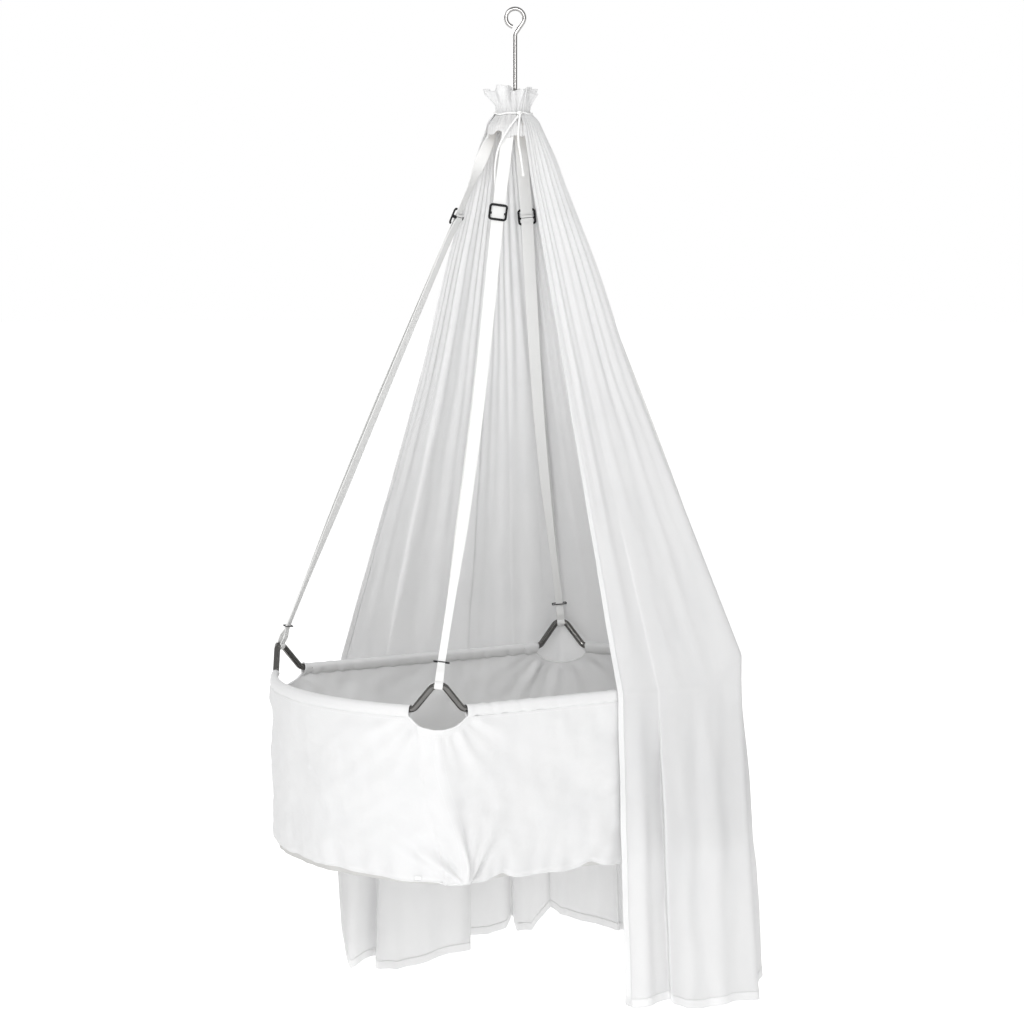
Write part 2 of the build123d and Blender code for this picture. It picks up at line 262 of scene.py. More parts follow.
def tube_piece(name, line, radius, material, closed=False, sides=12, strand_depth=0.0):
    """A tube along a line of points. Its radius may vary, and it may show three twisted strands."""
    line = np.asarray(line, float)
    count, strands, twist = len(line), 3, 900
    radii = np.broadcast_to(radius, (count,))
    ahead = tangents(line, closed)
    travelled = np.concatenate([[0], np.cumsum(norm(np.diff(line, axis=0)))])
    angles = tau * np.arange(sides) / sides
    normal = np.cross(ahead[0], [0.31, 0.2, 0.93])
    vertices = []
    for i in range(count):
        normal = unit(normal - ahead[i] * (normal @ ahead[i]))
        groove = strand_depth * abs(sin(strands * angles / 2 + twist * travelled[i]))
        ring = np.outer(cos(angles), normal) + np.outer(sin(angles), np.cross(ahead[i], normal))
        vertices += list(line[i] + ring * (radii[i] * (1 - groove))[:, None])
    return add_mesh(name, vertices, ring_faces(count, sides, closed), material)


def stitches_piece(name, runs, material, spacing, length, radius):
    """Rows of small raised stitches. A run is a line of points on the cloth's face."""
    vertices, faces = [], []
    sides, plumpness = 5, (0.15, 0.85, 0.85, 0.15)
    angles = tau * np.arange(sides) / sides
    for line in runs:
        total = line_length(line)
        count = max(2, int(total / spacing))
        at = (np.arange(count) + 0.5) / count
        middles = along_line(line, at)
        for middle, ahead in zip(middles, along_line(line, np.clip(at + 0.001 / total, 0, 1)) - middles):
            along = ahead / max(norm(ahead), 1e-12)
            side = unit(np.cross(along, [0.13, 0.36, 0.92]))
            ring = np.outer(cos(angles), side) + np.outer(sin(angles), np.cross(along, side))
            faces += ring_faces(len(plumpness), sides, False, len(vertices))
            for place, plump in zip(np.linspace(-0.5, 0.5, len(plumpness)), plumpness):
                vertices += list(middle + along * length * place + ring * radius * plump)
    return add_mesh(name, vertices, faces, material)


# ---------------- materials


def set_sockets(node, **values):
    """Sets a node's input sockets. A socket's name is written with _ for its spaces."""
    for key, value in values.items():
        node.inputs[key.replace("_", " ")].default_value = value


class Look:
    """A node material that is built a step at a time."""

    def __init__(self, name, base, roughness, metallic=0.0):
        self.material = bpy.data.materials.new(name)
        self.material.use_nodes = True
        self.tree = self.material.node_tree
        self.shader = self.tree.nodes["Principled BSDF"]
        set_sockets(self.shader, Base_Color=(*base, 1), Roughness=roughness, Metallic=metallic)
        self.base = base
        self.height = None

    def node(self, kind, **values):
        made = self.tree.nodes.new(kind)
        set_sockets(made, **values)
        return made

    def link(self, a, b):
        self.tree.links.new(a, b)

    def coordinates(self, kind, scale=(1, 1, 1), turn=0.0):
        mapping = self.node("ShaderNodeMapping", Scale=scale, Rotation=(0, 0, turn))
        self.link(self.node("ShaderNodeTexCoord").outputs[kind], mapping.inputs["Vector"])
        return mapping.outputs["Vector"]

    def noise(self, where, scale, detail=3.0, roughness=0.55):
        made = self.node("ShaderNodeTexNoise", Scale=scale, Detail=detail, Roughness=roughness)
        self.link(where, made.inputs["Vector"])
        return made.outputs["Fac"]

    def wave(self, where, period, direction="X", distortion=0.0):
        made = self.node("ShaderNodeTexWave", Scale=tau / 20 / period, Distortion=distortion)
        made.bands_direction = direction
        self.link(where, made.inputs["Vector"])
        return made.outputs["Fac"]

    def math(self, kind, a, b):
        made = self.node("ShaderNodeMath")
        made.operation = kind
        for socket, value in zip(made.inputs, (a, b)):
            if isinstance(value, (int, float)):
                socket.default_value = value
            else:
                self.link(value, socket)
        return made.outputs[0]

    def ramp(self, value, low, high, first, last):
        """Maps a value from low..high to first..last."""
        made = self.node("ShaderNodeMapRange", From_Min=low, From_Max=high, To_Min=first, To_Max=last)
        self.link(value, made.inputs["Value"])
        return made.outputs["Result"]

    def tint(self, value, other, low, high, first, last):
        """Mixes the base colour towards another one where a value is in a range. Calls add up."""
        mix = self.node("ShaderNodeMix")
        mix.data_type = "RGBA"
        self.link(self.ramp(value, low, high, first, last), mix.inputs["Factor"])
        colour = self.shader.inputs["Base Color"]
        if colour.links:
            self.link(colour.links[0].from_socket, mix.inputs["A"])
        else:
            mix.inputs["A"].default_value = (*self.base, 1)
        mix.inputs["B"].default_value = (*other, 1)
        self.link(mix.outputs["Result"], colour)

    def rough(self, value, first, last):
        self.link(self.ramp(value, 0.3, 0.7, first, last), self.shader.inputs["Roughness"])

    def bump(self, value, distance, strength=1.0):
        """Adds a layer of relief in metres."""
        made = self.node("ShaderNodeBump", Strength=strength, Distance=distance)
        self.link(value, made.inputs["Height"])
        if self.height is not None:
            self.link(self.height, made.inputs["Normal"])
        self.height = made.outputs["Normal"]
        self.link(self.height, self.shader.inputs["Normal"])


def cotton(name, base, shade, thread, relief, glow=0.0):
    """Plain woven cotton with slubs, faint creases and a little sheen."""
    look = Look(name, base, 0.9)
    where = look.coordinates("UV")
    warp = look.wave(where, thread, "X", 0.6)
    weft = look.wave(where, thread * 1.15, "Y", 0.6)
    weave = look.math("MULTIPLY", warp, weft)
    slub = look.noise(look.coordinates("UV", (90, 900, 1)), 1.0, 2.0)
    broad = look.noise(where, 7.0, 4.0)
    look.tint(weave, shade, 0.0, 0.5, 0.10, 0.0)
    look.tint(slub, shade, 0.60, 0.78, 0.0, 0.18)
    look.tint(broad, shade, 0.45, 0.75, 0.0, 0.16)
    look.rough(broad, 0.86, 0.96)
    look.bump(look.noise(where, 55.0, 4.0), 0.0006, 0.5)
    look.bump(slub, 0.0002, 0.5)
    look.bump(weave, relief, 0.8)
    set_sockets(look.shader, Sheen_Weight=0.25)
    set_sockets(look.shader, Sheen_Roughness=0.5)
    set_sockets(look.shader, Specular_IOR_Level=0.25)
    if glow:
        through = look.node("ShaderNodeBsdfTranslucent", Color=(*base, 1))
        mix = look.node("ShaderNodeMixShader", Fac=glow)
        look.link(look.shader.outputs[0], mix.inputs[1])
        look.link(through.outputs[0], mix.inputs[2])
        look.link(look.height, through.inputs["Normal"])
        look.link(mix.outputs[0], look.tree.nodes["Material Output"].inputs["Surface"])
    return look.material


def webbing_look(name, base, shade):
    """Flat cotton tape with a herringbone weave and firm edges."""
    look = Look(name, base, 0.86)
    where = look.coordinates("UV")
    right = look.wave(look.coordinates("UV", turn=math.radians(50)), 0.0016, "X", 0.4)
    left = look.wave(look.coordinates("UV", turn=math.radians(-50)), 0.0016, "X", 0.4)
    side = look.wave(look.coordinates("UV"), 0.0125, "X")
    half = look.ramp(side, 0.48, 0.52, 0.0, 1.0)
    other_half = look.math("SUBTRACT", 1.0, half)
    twill = look.math("ADD", look.math("MULTIPLY", right, half), look.math("MULTIPLY", left, other_half))
    thread = look.wave(where, 0.0009, "Y", 0.3)
    broad = look.noise(where, 18.0, 3.0)
    look.tint(twill, shade, 0.0, 0.6, 0.14, 0.0)
    look.tint(broad, shade, 0.5, 0.8, 0.0, 0.12)
    look.rough(broad, 0.78, 0.92)
    look.bump(thread, 0.00004, 0.5)
    look.bump(twill, 0.00012, 0.7)
    set_sockets(look.shader, Sheen_Weight=0.2)
    return look.material


def metal_look(name, base, roughness, worn):
    """Drawn steel with fine scratches along it and faint smudges."""
    look = Look(name, base, roughness, 1.0)
    smudge = look.noise(look.coordinates("Object"), 45.0, 4.0)
    scratch = look.noise(look.coordinates("Object", (40, 40, 900)), 1.0, 5.0, 0.7)
    look.tint(smudge, worn, 0.52, 0.75, 0.0, 0.6)
    look.rough(scratch, roughness * 0.75, roughness * 1.5)
    look.bump(scratch, 0.00003, 0.6)
    set_sockets(look.shader, Anisotropic=0.3)
    return look.material


def enamel_look(name, base, worn):
    """Black stoved enamel with an even fine texture and rubbed spots."""
    look = Look(name, base, 0.42)
    where = look.coordinates("Object")
    grain = look.noise(where, 2600.0, 2.0)
    rubbed = look.noise(where, 160.0, 5.0, 0.65)
    look.tint(rubbed, worn, 0.62, 0.74, 0.0, 0.5)
    look.rough(rubbed, 0.36, 0.50)
    look.bump(grain, 0.00004, 0.6)
    set_sockets(look.shader, Specular_IOR_Level=0.3)
    return look.material


def wood_look(name, light, dark):
    """Sanded birch with long grain and open pores."""
    look = Look(name, light, 0.55)
    long_way = look.coordinates("Object", (6, 60, 60))
    grain = look.noise(long_way, 1.6, 6.0, 0.6)
    pores = look.noise(look.coordinates("Object", (40, 900, 900)), 1.0, 3.0, 0.7)
    look.tint(grain, dark, 0.42, 0.66, 0.0, 0.8)
    look.tint(pores, dark, 0.62, 0.8, 0.0, 0.5)
    look.rough(grain, 0.48, 0.66)
    look.bump(pores, 0.0001, 0.5)
    return look.material


def cord_look(name, base, shade):
    """Twisted cotton string."""
    look = Look(name, base, 0.9)
    where = look.coordinates("Object")
    fuzz = look.noise(where, 900.0, 4.0)
    lay = look.wave(look.coordinates("Object", (1, 1, 0.8), math.radians(20)), 0.0016, "DIAGONAL", 1.2)
    look.tint(lay, shade, 0.0, 0.5, 0.4, 0.0)
    look.rough(fuzz, 0.85, 0.97)
    look.bump(lay, 0.0004, 0.8)
    look.bump(fuzz, 0.0002, 0.6)
    set_sockets(look.shader, Sheen_Weight=0.3)
    return look.material


def make_looks():
    """All materials by name."""
    grey = (0.70, 0.71, 0.73)
    return {
        "canopy": cotton("canopy_voile", (0.93, 0.93, 0.93), grey, 0.0006, 0.00016, 0.36),
        "hem": cotton("canopy_hem", (0.93, 0.93, 0.93), grey, 0.0006, 0.00016, 0.08),
        "tub": cotton("tub_canvas", (0.795, 0.795, 0.795), (0.66, 0.67, 0.69), 0.0009, 0.0003),
        # The tub floor is the walls' canvas made darker: painted shade for the shadowed strip under the walls' lower
        # edge
        "painted_shade_floor": cotton("tub_floor_painted_shade", (0.62, 0.615, 0.60), (0.42, 0.42, 0.41), 0.0009, 0.0003),
        "mattress": cotton("mattress_cover", (0.91, 0.905, 0.88), (0.7, 0.69, 0.66), 0.0008, 0.00025),
        "thread": cord_look("sewing_thread", (0.93, 0.93, 0.93), (0.7, 0.7, 0.7)),
        "webbing": webbing_look("webbing", (0.84, 0.84, 0.83), (0.62, 0.63, 0.65)),
        "cord": cord_look("tie_cotton", (0.92, 0.92, 0.91), (0.62, 0.62, 0.62)),
        "frame": metal_look("frame_steel", (0.17, 0.166, 0.16), 0.14, (0.25, 0.245, 0.235)),
        "rod": metal_look("rod_steel", (0.36, 0.355, 0.35), 0.13, (0.44, 0.435, 0.43)),
        "wire": metal_look("keeper_wire", (0.03, 0.03, 0.032), 0.3, (0.07, 0.07, 0.07)),
        "link": metal_look("link_steel", (0.5, 0.49, 0.48), 0.24, (0.62, 0.61, 0.6)),
        "buckle": enamel_look("buckle_black", (0.004, 0.004, 0.005), (0.02, 0.02, 0.021)),
        "wood": wood_look("spreader_wood", (0.72, 0.55, 0.36), (0.48, 0.32, 0.18)),
        "board": wood_look("board_wood", (0.66, 0.52, 0.36), (0.42, 0.30, 0.18)),
    }


# ---------------- camera, lights, floor


def make_camera():
    """The camera at the viewing angle of the reference."""
    data = bpy.data.cameras.new("camera")
    data.lens = camera_lens
    data.sensor_width = sensor_width
    camera = add_object("camera", data)
    level = math.cos(camera_pitch)
    look = Vector((camera_heading[0] * level, camera_heading[1] * level, -math.sin(camera_pitch)))
    camera.location = camera_at
    camera.rotation_euler = look.to_track_quat("-Z", "Y").to_euler()
    bpy.context.scene.camera = camera


def area_light(name, place, size, power):
    """A soft square light that faces the cradle's middle."""
    data = bpy.data.lights.new(name, "AREA")
    data.size = size
    data.energy = power
    light = add_object(name, data)
    light.location = place
    light.visible_camera = False
    cradle_middle = Vector((0, 0, -1.1))
    aim = cradle_middle - Vector(place)
    light.rotation_euler = aim.to_track_quat("-Z", "Y").to_euler()


def make_studio():
    """Soft white surroundings, a key light from the left and a pale floor."""
    scene = bpy.context.scene
    scene.view_settings.view_transform = "Standard"
    world = bpy.data.worlds.new("studio")
    scene.world = world
    world.use_nodes = True
    tree = world.node_tree
    background = tree.nodes["Background"]
    set_sockets(background, Color=(1, 1, 1, 1), Strength=0.55)
    seen = tree.nodes.new("ShaderNodeBackground")
    set_sockets(seen, Color=(1, 1, 1, 1), Strength=1.0)
    mix = tree.nodes.new("ShaderNodeMixShader")
    path = tree.nodes.new("ShaderNodeLightPath")
    tree.links.new(path.outputs["Is Camera Ray"], mix.inputs["Fac"])
    tree.links.new(background.outputs[0], mix.inputs[1])
    tree.links.new(seen.outputs[0], mix.inputs[2])
    tree.links.new(mix.outputs[0], tree.nodes["World Output"].inputs["Surface"])
    area_light("key", (-3.4, -2.6, 1.3), 1.4, 62)
    area_light("fill", (-2.7, -5.2, 0.55), 1.7, 84)
    area_light("behind", (1.2, 5.0, 0.6), 2.0, 95)
    look = Look("pale_floor", (0.42, 0.42, 0.42), 0.9)
    set_sockets(look.shader, Emission_Color=(1, 1, 1, 1))
    set_sockets(look.shader, Emission_Strength=0.86)
    floor_r, floor_z, sides = 30.0, cad_low.z - 0.12, 64
    ring = [(floor_r * cos(a), floor_r * sin(a), floor_z) for a in tau * np.arange(sides) / sides]
    floor = add_mesh("floor", ring, [tuple(range(sides))], look.material)


# ---------------- plan of the rim


class Rim:
    """Where the rim's tubes run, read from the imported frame."""

    front_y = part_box("rail_front")[0].y + tube_r
    back_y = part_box("rail_back")[1].y - tube_r
    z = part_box("rail_front")[0].z + tube_r
    left_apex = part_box("rail_left_end")[0].x + tube_r
    right_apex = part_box("rail_right_end")[1].x - tube_r
    middle_y = (front_y + back_y) / 2
    half_width = (back_y - front_y) / 2
    bow = half_width * math.tan(end_angle) - end_bow_r * (1 / math.cos(end_angle) - 1)
    left_x = left_apex + bow
    right_x = right_apex - bow
    middle = np.array([(left_x + right_x) / 2, middle_y])


def rim_corner(name):
    """Where the two sides of the rim would meet in plan."""
    x = Rim.left_x if name.endswith("left") else Rim.right_x
    y = Rim.front_y if name.startswith("front") else Rim.back_y
    return np.array([x, y])


def rim_points(out=0.0):
    """Corners and end peaks of the rim's plan, moved outward, in the order F, R, peak, B, L, peak."""
    lean = math.tan(end_angle)
    slant = out / math.cos(end_angle) - out * lean
    peak_reach = Rim.half_width * lean + out / math.cos(end_angle)
    return [
        (Rim.left_x - slant, Rim.front_y - out),
        (Rim.right_x + slant, Rim.front_y - out),
        (Rim.right_x + peak_reach, Rim.middle_y),
        (Rim.right_x + slant, Rim.back_y + out),
        (Rim.left_x - slant, Rim.back_y + out),
        (Rim.left_x - peak_reach, Rim.middle_y),
    ]


def closed_plan(out, corner_r):
    """Closed plan of the rim, moved outward, with its corners rounded."""
    return rounded_line(rim_points(out), [corner_r, corner_r, end_bow_r] * 2, closed=True)


# ---------------- tie cord


def nurbs_cord(name, route, diameter, material):
    """A round cord whose line is a smooth NURBS curve."""
    curve = bpy.data.curves.new(name, "CURVE")
    curve.dimensions = "3D"
    curve.bevel_depth = diameter / 2
    curve.bevel_resolution = 4
    curve.resolution_u = 12
    curve.use_fill_caps = True
    spline = curve.splines.new("NURBS")
    spline.points.add(len(route) - 1)
    for point, at in zip(spline.points, route):
        point.co = (*at, 1)
    spline.order_u = 3
    spline.use_endpoint_u = True
    curve.materials.append(material)
    cord = add_object(name, curve)
    return cord


def knot_line(centre, size, turn, count=90):
    """Closed trefoil line of an overhand knot."""
    t = np.linspace(0, tau, count, endpoint=False)
    x = (sin(t) + 2 * sin(2 * t)) / 3
    y = (cos(t) - 2 * cos(2 * t)) / 3
    z = -sin(3 * t) / 2.4
    flat = np.stack([x * math.cos(turn) - z * math.sin(turn), x * math.sin(turn) + z * math.cos(turn), y], -1)
    return np.array(centre) + flat * size


def make_tie(looks):
    """Cord round the neck, its knot and its two tails with small end knots."""
    low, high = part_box("tie_cord")
    centre = (low + high) / 2
    radius = (high.x - low.x) / 2 - cord_diameter / 2
    turns = np.linspace(0, tau, 181)[:-1]
    ring = np.stack(
        [
            centre.x + radius * cos(turns),
            centre.y + radius * sin(turns),
            centre.z + 0.0012 * sin(3 * turns + 1) + 0.0006 * sin(7 * turns),
        ],
        -1,
    )
    band = tube_piece(
        "tie_band", ring, cord_diameter / 2, looks["cord"], closed=True, sides=14, strand_depth=0.28
    )
    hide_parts("tie_cord")
    low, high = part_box("tie_knot")
    middle = (low + high) / 2
    knot = tube_piece(
        "tie_bow_knot", knot_line(middle, 0.0046, 0.5), 0.0021, looks["cord"], closed=True, strand_depth=0.22
    )
    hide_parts("tie_knot")
    for piece in (band, knot):
        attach(piece, "head")
    for name, route, length in (("tail_right", tail_right_route, 0.110), ("tail_left", tail_left_route, 0.166)):
        tail = nurbs_cord("tie_" + name + "_cord", route, cord_diameter, looks["cord"])
        end = tube_piece(
            "tie_" + name + "_end", knot_line(route[-1], 0.0030, 1.2), 0.0015, looks["cord"], closed=True, sides=10
        )
        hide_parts("tie_" + name)
        for piece in (tail, end):
            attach(piece, "head")


# ---------------- canopy

neck_middle = np.array([-0.003, 0.002])
neck_r = 0.0335
neck_start = math.radians(147.7)
neck_end = math.radians(-100.0)
canopy_top_z = -0.1775
canopy_gap = 0.0125
free_back_x = -0.200
free_front_x = 0.034
corner_bend = 0.020
vee_rise = 0.056
hem_flare = 0.085
canopy_thickness = 0.0009
canopy_cut = (2.15, 1.74)
edge_hem = 0.012

# Height of the lower hem along the rim's line, from the back's free edge round to the front's
hem_heights = [
    (0.000, -1.770), (0.012, -1.815), (0.028, -1.858), (0.055, -1.846), (0.068, -1.845), (0.078, -1.864),
    (0.105, -1.878), (0.135, -1.874), (0.178, -1.858), (0.197, -1.850), (0.205, -1.826), (0.240, -1.832),
    (0.262, -1.822), (0.270, -1.797), (0.278, -1.799), (0.285, -1.832), (0.305, -1.836), (0.318, -1.792),
    (0.332, -1.782), (0.345, -1.808), (0.400, -1.828), (0.480, -1.838), (0.560, -1.830), (0.640, -1.842),
    (0.720, -1.834), (0.800, -1.848), (0.850, -1.840), (0.895, -1.844), (0.918, -1.838), (0.935, -1.820),
    (0.965, -1.822), (0.990, -1.826), (1.000, -1.818),
]

# Broad folds: share of the width, half width in shares, height and the way it leans
broad_folds = [
    (0.050, 0.022, 0.011, 0.35), (0.110, 0.026, 0.016, -0.3), (0.165, 0.020, 0.012, 0.2), (0.235, 0.026, 0.017, -0.4),
    (0.290, 0.016, 0.012, 0.3), (0.395, 0.024, 0.013, -0.2), (0.455, 0.026, 0.016, 0.3), (0.520, 0.024, 0.013, -0.3),
    (0.585, 0.026, 0.016, 0.2), (0.650, 0.022, 0.012, -0.2), (0.715, 0.026, 0.015, 0.3), (0.865, 0.018, 0.006, 0.2),
    (0.905, 0.018, 0.009, -0.2), (0.968, 0.016, 0.007, 0.2),
]

# Knife pleats: share of the width, half width in shares, overlap, depth, and which side lies outside
knife_pleats = [
    (0.072, 0.013, 2.1, 0.013, -1), (0.200, 0.012, 2.0, 0.013, 1), (0.274, 0.009, 1.5, 0.010, -1),
    (0.326, 0.009, 1.7, 0.010, 1), (0.425, 0.012, 1.6, 0.011, 1), (0.555, 0.012, 1.7, 0.011, -1),
    (0.685, 0.012, 1.6, 0.011, 1), (0.938, 0.010, 1.8, 0.008, -1),
]


def canopy_plan():
    """Plan of the canopy at the rim: back, bowed right end, front."""
    points = rim_points(canopy_gap)
    return rounded_line(
        [(free_back_x, points[3][1]), points[3], points[2], points[1], (free_front_x, points[1][1])],
        [0, corner_bend, end_bow_r, corner_bend, 0],
    )


def canopy_surface(shares, drops):
    """Points of the canopy. shares run round it and drops go from 0 at the tie to 1 at the hem."""
    plan = canopy_plan()
    length = line_length(plan)
    s, t = np.meshgrid(shares, drops)
    hem = np.interp(shares, [h[0] for h in hem_heights], [h[1] for h in hem_heights])
    hem_z = hem[None, :].repeat(len(drops), 0)
    z = canopy_top_z + (hem_z - canopy_top_z) * t
    below = smooth(-z, 1.20, 1.52)
    slide = np.zeros_like(s)
    push = np.zeros_like(s)
    for at, width, overlap, depth, side in knife_pleats:
        strength = 0.35 * smooth(-z, 0.45, 1.1) + 0.65 * smooth(-z, 1.22, 1.42)
        u = (s - at) / width
        lobe = u * exp(-(u**2)) * strength
        slide -= overlap * width * lobe
        push += side * depth * lobe * 2.2 * (0.35 + 0.65 * below)
    for at, width, height, lean in broad_folds:
        drift = lean * 0.010 * (z + 1.235)
        grow = smooth(-z, 0.2, 0.75) * (0.62 + 0.38 * below)
        push += height * bell(s + drift, at, width) * grow
    ground = smooth(-z, 0.18, 0.26) * (1 - smooth(-z, 0.42, 0.95))
    for count, height, phase in ((17, 0.0042, 0.4), (29, 0.0020, 1.9), (47, 0.0007, 3.0)):
        wander = 0.35 * sin(tau * 3 * s + phase) + 0.2 * sin(tau * 7 * s)
        push += height * sin(tau * count * s + phase + wander * 4) * ground
    long_waves = smooth(-z, 0.35, 0.9) * (0.5 + 0.5 * below)
    push += 0.0030 * sin(tau * 13 * s + 5 * sin(tau * 2 * s) + 0.8 * z) * long_waves
    push += 0.0012 * sin(tau * 27 * s + 4 * sin(tau * 3 * s) - 1.1 * z) * long_waves * below
    push += 0.0016 * ripples(s * length, z, 11, 0.20, 0.5) * smooth(-z, 0.3, 0.6)
    push += 0.0007 * ripples(s * length, z, 12, 0.05, 0.12) * smooth(-z, 0.3, 0.6)
    moved = np.clip(s + slide, 0, 1)
    rim = along_line(plan, moved)
    ahead = along_line(plan, np.clip(moved + 0.004, 0, 1)) - along_line(plan, np.clip(moved - 0.004, 0, 1))
    ahead = unit(ahead)
    outward = np.stack([-ahead[..., 1], ahead[..., 0]], -1)
    angle = neck_start + (neck_end - neck_start) * moved
    ray = np.stack([cos(angle), sin(angle)], -1)
    pleat = 0.0018 * sin(tau * 44 * s + 2 * sin(tau * 5 * s)) * smooth(-z, 0.176, 0.19)
    neck = neck_middle + ray * (neck_r + pleat)[..., None]
    near_corner, near_strap = np.zeros_like(s), np.zeros_like(s)
    for name, bulge in (("back_right", 1.32), ("front_right", 1.0)):
        gap = norm(rim - rim_corner(name))
        near_strap = np.maximum(near_strap, bulge * bell(gap, 0, 0.19))
        near_corner = np.maximum(near_corner, bell(gap, 0, 0.042))
    past_back_left = norm(rim - rim_corner("back_left"))
    near_strap = np.maximum(near_strap, bell(past_back_left, 0, 0.30))
    held_z = Rim.z + vee_rise * near_corner
    tent = np.clip((canopy_top_z - z) / (canopy_top_z - held_z), 0, 1)[..., None]
    flat = neck * (1 - tent) + rim * tent
    shoulder = 0.0085 * smooth(-z, 0.172, 0.199) * (1 - smooth(-z, 0.206, 0.30))
    flat = flat + ray * shoulder[..., None]
    hug = 1 - 0.6 * bell(z, -1.235, 0.08) * (1 - 0.3 * near_corner) - 0.92 * near_corner * smooth(-z, 0.4, 0.8)
    push = push * np.clip(hug, 0.06, 1)
    flat = flat + outward * push[..., None] * np.maximum(tent, 0.25)
    over_buckle = 0.0138 * near_strap * smooth(-z, 0.20, 0.29) * (1 - smooth(-z, 0.42, 0.70))
    flat = flat + ray * over_buckle[..., None]
    skirt = np.clip((Rim.z - z) / (Rim.z - cad_low.z), 0, 1)
    flat = flat + (flat - Rim.middle) * (hem_flare * skirt**1.15)[..., None]
    curl_back = exp(-s / 0.02) * skirt**3
    curl_front = exp(-(1 - s) / 0.015) * skirt**2
    flat = flat + ahead * (0.028 * curl_back - 0.006 * curl_front)[..., None]
    flat = flat - outward * (0.022 * curl_back + 0.010 * curl_front)[..., None]
    return np.concatenate([flat, z[..., None]], -1)


def canopy_strip(name, shares, drops, looks, size):
    """A double-folded hem: a narrow strip of the same surface, a little thicker."""
    strip = grid_piece(name, canopy_surface(shares, drops), size, looks["hem"], thickness=0.0017)
    dress_canopy(strip)
    return strip


def dress_canopy(piece):
    """Canopy cloth hangs from the head, with a mesh of its own."""
    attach(piece, "head")
    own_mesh(piece)


def both_faces(line, normal):
    """Stitch lines on the outer and the inner face of the cloth."""
    return [line + normal * stitch_lift, line - normal * stitch_lift]


def make_canopy(looks):
    """The gathered sheet, its hems and its ruffle."""
    columns, rows = 760, 330
    shares = np.linspace(0, 1, columns)
    drops = np.linspace(0, 1, rows) ** 1.12
    sheet = grid_piece(
        "canopy_cloth", canopy_surface(shares, drops), canopy_cut, looks["canopy"], thickness=canopy_thickness
    )
    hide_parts("canopy")
    dress_canopy(sheet)
    edge = edge_hem / line_length(canopy_plan())
    hems = [
        canopy_strip("canopy_hem_back", np.linspace(0, edge, 7), drops[6:], looks, (edge_hem, canopy_cut[1])),
        canopy_strip("canopy_hem_front", np.linspace(1 - edge, 1, 7), drops[6:], looks, (edge_hem, canopy_cut[1])),
        canopy_strip("canopy_hem_low", shares, np.linspace(0.990, 1, 6), looks, (canopy_cut[0], 0.018)),
    ]
    runs = []
    for at in (edge * 0.85, 1 - edge * 0.85):
        wide = canopy_surface(np.array([at - 0.001, at, at + 0.001]), drops[6:])
        normal = grid_normals(wide)[:, 1]
        runs += both_faces(wide[:, 1], normal)
    wide = canopy_surface(shares, np.array([0.9905, 0.991, 0.9915]))
    normal = grid_normals(wide)[1]
    runs += both_faces(wide[1], normal)
    seam = stitches_piece("canopy_stitches", runs, looks["thread"], 0.005, 0.0034, 0.0003)
    dress_canopy(seam)
    ruffle = make_ruffle(looks)


def make_ruffle(looks):
    """The cloth's frilled head above the tie, and the short flounce under it."""
    columns, rows = 420, 50
    share = np.linspace(0, 1, columns)[None, :]
    t = np.linspace(0, 1, rows)[:, None]
    angle = tau * share
    top_z = -0.1330 + 0.0045 * sin(2 * angle + 0.2) + 0.0040 * sin(5 * angle + 2.0) + 0.0018 * sin(13 * angle)
    low_z = -0.2165 + 0.0050 * sin(4 * angle + 0.5) + 0.0032 * sin(9 * angle + 1.1)
    z = top_z + (low_z - top_z) * t
    up = smooth(z, -0.178, -0.130)
    down = smooth(-z, 0.176, 0.203)
    frill = (
        0.0070 * sin(7 * angle + 1.3 * sin(2 * angle))
        + 0.0035 * sin(15 * angle + 2.0 * sin(3 * angle) + 1)
        + 0.0012 * sin(31 * angle)
    )
    fine = 0.0013 * sin(26 * angle + 3 * sin(4 * angle)) + 0.0006 * sin(47 * angle + 2 * sin(5 * angle))
    leftward = angle - math.radians(147.7)
    petals = 0.0085 * cos(leftward) + 0.0070 * cos(2 * leftward) + 0.0030 * cos(3 * angle + 1.0)
    radius = (
        neck_r - 0.0035
        + up**1.4 * (0.0115 + petals + frill)
        + down * (0.0150 + 0.0012 * smooth(-z, 0.200, 0.216) + 0.9 * fine)
        + fine * (1 - down) * (1 - 0.5 * up)
    )
    radius = np.minimum(radius, 0.0600)
    swirl = angle + up * 0.14 * sin(7 * angle + 0.8)
    grid = np.stack(
        [neck_middle[0] + radius * cos(swirl), neck_middle[1] + radius * sin(swirl), z + 0 * angle], -1
    )
    ruffle = grid_piece("canopy_ruffle", grid, (0.50, 0.09), looks["canopy"], wrap=True, thickness=0.0010)
    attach(ruffle, "head")
    return ruffle


# ---------------- straps

web_width = 0.0225
loop_drop = 0.0047
web_thick = 0.0015
pinched_width = 0.0135
upper_twist = {
    "front_left": math.radians(8),
    "back_left": math.radians(-48),
    "back_right": math.radians(-12),
    "front_right": math.radians(15),
}
lower_twist = {
    "front_left": math.radians(20),
    "back_left": math.radians(-6),
    "back_right": math.radians(-35),
    "front_right": math.radians(-25),
}


